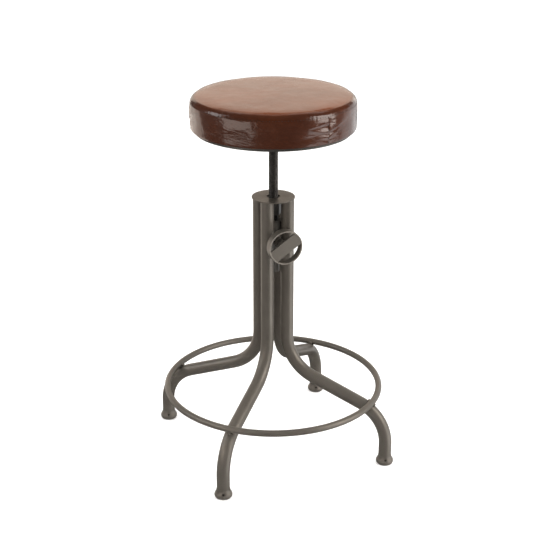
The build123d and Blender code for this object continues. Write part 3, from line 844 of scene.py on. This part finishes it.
down = np.linspace(seam_height - 0.003, side_low + 0.004, 30)
upright_rows = [[on_leather(angle, height) for height in down] for angle in side_seams]
side_stitches = bake_tree(line_object("side_stitches", upright_rows, closed=False), stitch_tree,
                          Pitch=0.0085, Length=0.0034, Thickness=0.0016)
way_round = np.linspace(0, 2 * math.pi, 360, endpoint=False)
round_row = [on_leather(angle, seam_height - 0.0016) for angle in way_round]
shoulder_stitches = bake_tree(line_object("shoulder_stitches", [round_row], closed=True),
                              stitch_tree)
print("stitches:", len(side_stitches.data.polygons), "and", len(shoulder_stitches.data.polygons),
      "faces")

# %% [markdown]
# ## Threads
# The spindle is an M20 thread with a pitch of 2.5 mm, and the lock screw an M10 one with a
# pitch of 1.5 mm. A screw thread is a ridge that follows a helix, so a tree sweeps the ridge's
# four-sided section along a Spiral curve, and the rest is a core turned on a lathe. The
# curve's normal is set to Z up, which keeps the section square to the axis at every turn.

# %% Thread tree
depth_share = 0.61  # depth of a metric thread as a share of its pitch
half_crest, half_root = 0.14, 0.44  # half widths of the ridge as shares of the pitch
thread_tree, sizes, result = new_tree("thread", Turns=100.0, Pitch=0.0025, Crest=0.010,
                                      Depth=0.0015)
rise = combine(thread_tree, "MULTIPLY", sizes["Turns"], sizes["Pitch"])
helix = put(thread_tree, "GeometryNodeCurveSpiral", Resolution=32, Rotations=sizes["Turns"],
            Height=rise, Start_Radius=sizes["Crest"], End_Radius=sizes["Crest"], Reverse=True)
level = put(thread_tree, "GeometryNodeSetCurveNormal", Curve=helix.outputs["Curve"])
level.mode = "Z_UP"
outline = thread_tree.nodes.new("GeometryNodeCurvePrimitiveQuadrilateral")
outline.mode = "POINTS"
inside = combine(thread_tree, "MULTIPLY", sizes["Depth"], -1.0)
corners = ((0.0, half_crest), (0.0, -half_crest), (inside, -half_root), (inside, half_root))
for corner, (inward, share) in enumerate(corners, 1):
    spot = put(thread_tree, "ShaderNodeCombineXYZ", X=inward,
               Y=combine(thread_tree, "MULTIPLY", sizes["Pitch"], share))
    thread_tree.links.new(spot.outputs["Vector"], outline.inputs[f"Point {corner}"])
ridge = put(thread_tree, "GeometryNodeCurveToMesh", Curve=level.outputs["Curve"],
            Profile_Curve=outline.outputs["Curve"], Fill_Caps=True)
close_tree(thread_tree, result, ridge.outputs["Mesh"], spindle_steel)


# %% Ridges and turned cores
def outward(mesh):
    """Merge doubles and point every face out of the closed shape."""
    work = bmesh.new()
    work.from_mesh(mesh)
    bmesh.ops.remove_doubles(work, verts=work.verts, dist=1e-6)
    bmesh.ops.recalc_face_normals(work, faces=work.faces)
    work.to_mesh(mesh)
    work.free()
    mesh.update()


def thread_ridge(name, start, end, crest, pitch):
    """A right-hand ridge along Z, whose points carry how near they are to its crest."""
    depth = depth_share * pitch
    ridge = add_piece(name, bpy.data.meshes.new(name))
    bake_tree(ridge, thread_tree, Turns=(end - start) / pitch, Pitch=pitch, Crest=crest,
              Depth=depth)
    mesh = ridge.data
    points = np.array([v.co for v in mesh.vertices]) + (0, 0, start)
    mesh.vertices.foreach_set("co", points.ravel())
    share = (np.hypot(points[:, 0], points[:, 1]) - crest + depth) / depth
    carry(mesh, "crest", np.clip(share, 0, 1))
    outward(mesh)
    return ridge


def turned(name, profile, finish, around=40):
    """A solid turned about Z from a list of radius and height, low to high."""
    mesh = bpy.data.meshes.new(name)
    angles = [2 * math.pi * k / around for k in range(around)]
    points = [(r * math.cos(a), r * math.sin(a), z) for r, z in profile for a in angles]
    faces = []
    for start in range(0, (len(profile) - 1) * around, around):
        for k in range(around):
            beside = (k + 1) % around
            faces.append((start + k, start + beside, start + around + beside, start + around + k))
    last = (len(profile) - 1) * around
    faces += [tuple(reversed(range(around))), tuple(range(last, last + around))]
    mesh.from_pydata(points, [], faces)
    mesh.materials.append(finish)
    return add_piece(name, mesh)


print("threads are", depth_share, "of their pitch deep")

# %% Spindle
spindle_pitch, spigot, bevel, thread_end = 0.0025, 0.006, 0.0006, 0.0016
low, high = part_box("spindle")
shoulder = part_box("stop_ring")[1].z + 0.0003
crest, root = high.x, high.x - depth_share * spindle_pitch
spindle_core = turned("spindle_core", [
    (spigot - bevel, low.z), (spigot, low.z + bevel), (spigot, shoulder),
    (root - bevel, shoulder), (root, shoulder + bevel), (root, high.z - bevel),
    (root - bevel, high.z)], spindle_steel)
spindle_thread = thread_ridge("spindle_thread", shoulder + thread_end, high.z - thread_end,
                              crest, spindle_pitch)
print("spindle thread of", len(spindle_thread.data.polygons), "faces, shoulder at",
      round(shoulder, 5))

# %% Lock screw
lock_pitch, bevel, thread_end = 0.0015, 0.001, 0.0012
low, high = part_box("lock_screw")
axis_height, length, crest = (low.z + high.z) / 2, high.y - low.y, (high.z - low.z) / 2
root = crest - depth_share * lock_pitch
lock_core = turned("lock_core", [(root - bevel, 0.0), (root, bevel), (root, length - bevel),
                                 (root - bevel, length)], spindle_steel, around=28)
lock_thread = thread_ridge("lock_thread", thread_end, length - thread_end, crest, lock_pitch)
lay_down = Matrix.Translation((0, high.y, axis_height)) @ Matrix.Rotation(math.radians(90), 4, "X")
for piece in (lock_core, lock_thread):
    piece.data.transform(lay_down)
print("lock thread of", len(lock_thread.data.polygons), "faces")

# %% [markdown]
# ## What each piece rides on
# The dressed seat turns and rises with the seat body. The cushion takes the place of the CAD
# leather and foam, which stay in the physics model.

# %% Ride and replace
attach(cushion, "seat")
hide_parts("cover_top", "cover_side_front", "cover_side_right", "cover_side_back",
            "seat_foam")
for stitches in (side_stitches, shoulder_stitches):
    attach(stitches, "seat")
for piece in (spindle_core, spindle_thread):
    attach(piece, "seat")
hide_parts("spindle")
for piece in (lock_core, lock_thread):
    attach(piece, "wheel")
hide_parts("lock_screw")

# %% [markdown]
# ## Floor and light
# White paper fills the picture: a floor, and a wide ring of backdrop that only the camera sees.
# The floor glows a little, so that the feet stand without dark pools round them, and it isn't
# mirrored in the leather. Two softboxes stand left and right. Panels nearer the floor draw the
# bright lines along the tubes and the highlight on the side of the seat. A warm panel behind
# gives the sheen on its top, and two more that only show in reflections carry the sheen over
# the front and back of the shoulder. A very soft sun lights everything from above.

# %% Floor
half, paper_white = 14, (1.0, 1.0, 1.0, 1.0)
floor_mesh = bpy.data.meshes.new("floor")
floor_mesh.from_pydata([(-half, -half, 0), (half, -half, 0), (half, half, 0), (-half, half, 0)],
                       [], [(0, 1, 2, 3)])
floor = add_piece("floor", floor_mesh)
floor_paper, tree, skin = new_finish("floor_paper", roughness=0.9, specular_ior_level=0.1,
                                     emission_strength=0.3, emission_color=paper_white)
paint(tree, tones(tree, grain(tree, place_on_stool(tree), 3.0),
                  (0.3, (0.86, 0.86, 0.855)), (0.7, (0.89, 0.89, 0.885))), skin)
floor_mesh.materials.append(floor_paper)
floor.visible_glossy = False
print("floor of", len(floor_mesh.polygons), "face")

# %% Backdrop
sides, reach = 48, 20.0
way_round = [2 * math.pi * k / sides for k in range(sides)]
backdrop_mesh = bpy.data.meshes.new("backdrop")
backdrop_mesh.from_pydata(
    [(reach * math.cos(a), reach * math.sin(a), z) for z in (-4.0, 24.0) for a in way_round], [],
    [((k + 1) % sides, k, sides + k, sides + (k + 1) % sides) for k in range(sides)])
backdrop = add_piece("backdrop", backdrop_mesh)
backdrop_paper, tree, skin = new_finish("backdrop_paper", roughness=1.0, specular_ior_level=0.0,
                                        emission_strength=1.0, emission_color=paper_white)
backdrop_mesh.materials.append(backdrop_paper)
for ray in ("diffuse", "glossy", "transmission", "shadow"):
    setattr(backdrop, f"visible_{ray}", False)
print("backdrop of", len(backdrop_mesh.polygons), "faces")


# %% Softboxes
def softbox(name, bearing, distance, height, size, power, aim, colour):
    """An area light at a bearing, turned to a height on the stool's axis."""
    data = bpy.data.lights.new(name, "AREA")
    data.shape = "RECTANGLE"
    data.size, data.size_y = size
    data.energy = power
    data.color = colour
    light = add_piece(name, data)
    angle = math.radians(bearing)
    light.location = (distance * math.cos(angle), distance * math.sin(angle), height)
    look = Vector((0, 0, aim)) - Vector(light.location)
    light.rotation_euler = look.to_track_quat("-Z", "Y").to_euler()
    light.visible_camera = False
    return light


white = (1.0, 1.0, 1.0)
softboxes = [  # name, bearing, distance, height, size, power, height aimed at, colour
    ("left_softbox", 163, 2.2, 1.45, (1.0, 1.2), 13, 0.55, white),
    ("right_softbox", 320, 1.9, 1.15, (1.1, 1.2), 28, 0.55, (1.0, 0.92, 0.86)),
    ("low_panel_upper", 201, 1.3, 0.60, (1.00, 0.42), 3.8, 0.6, (1.0, 0.87, 0.79)),
    ("leg_panel", 244, 1.7, 0.25, (0.7, 0.1), 0.32, -0.03, white),
    ("left_edge_panel", 113, 1.6, 0.20, (1.5, 1.2), 6.6, 0.4, (1.0, 0.88, 0.78)),
    ("right_panel", 320, 1.5, -0.25, (1.5, 0.9), 9.5, -0.1, white),
    ("right_edge_panel", 18, 1.6, 0.25, (1.6, 1.8), 8.0, 0.25, white),
    ("back_panel", 68, 3.2, 1.9, (3.6, 1.8), 18.0, 0.55, (1.0, 0.845, 0.70)),
    ("shoulder_panel", 68, 0.58, 2.6, (2.4, 0.8), 8.5, 0.8, (1.0, 0.94, 0.90)),
    ("back_strip", 68, 3.2, 0.78, (3.6, 0.7), 4.5, 0.78, (1.0, 0.88, 0.78)),
]
lights = {row[0]: softbox(*row) for row in softboxes}
lights["leg_panel"].data.spread = math.radians(30)
lights["leg_panel"].visible_glossy = False
for name in ("shoulder_panel", "back_strip"):
    lights[name].visible_diffuse = False
print("softboxes:", list(lights))

# %% Sky and world
sun = bpy.data.lights.new("sky_panel", "SUN")
sun.energy = 3.2
sun.angle = math.radians(100)
sky = add_piece("sky_panel", sun)
sky.visible_glossy = False
world = bpy.data.worlds.new("studio")
scene.world = world
world.use_nodes = True
background = world.node_tree.nodes["Background"]
background.inputs["Color"].default_value = (1.0, 0.99, 0.97, 1.0)
background.inputs["Strength"].default_value = 0.06
scene.view_settings.view_transform = "Standard"
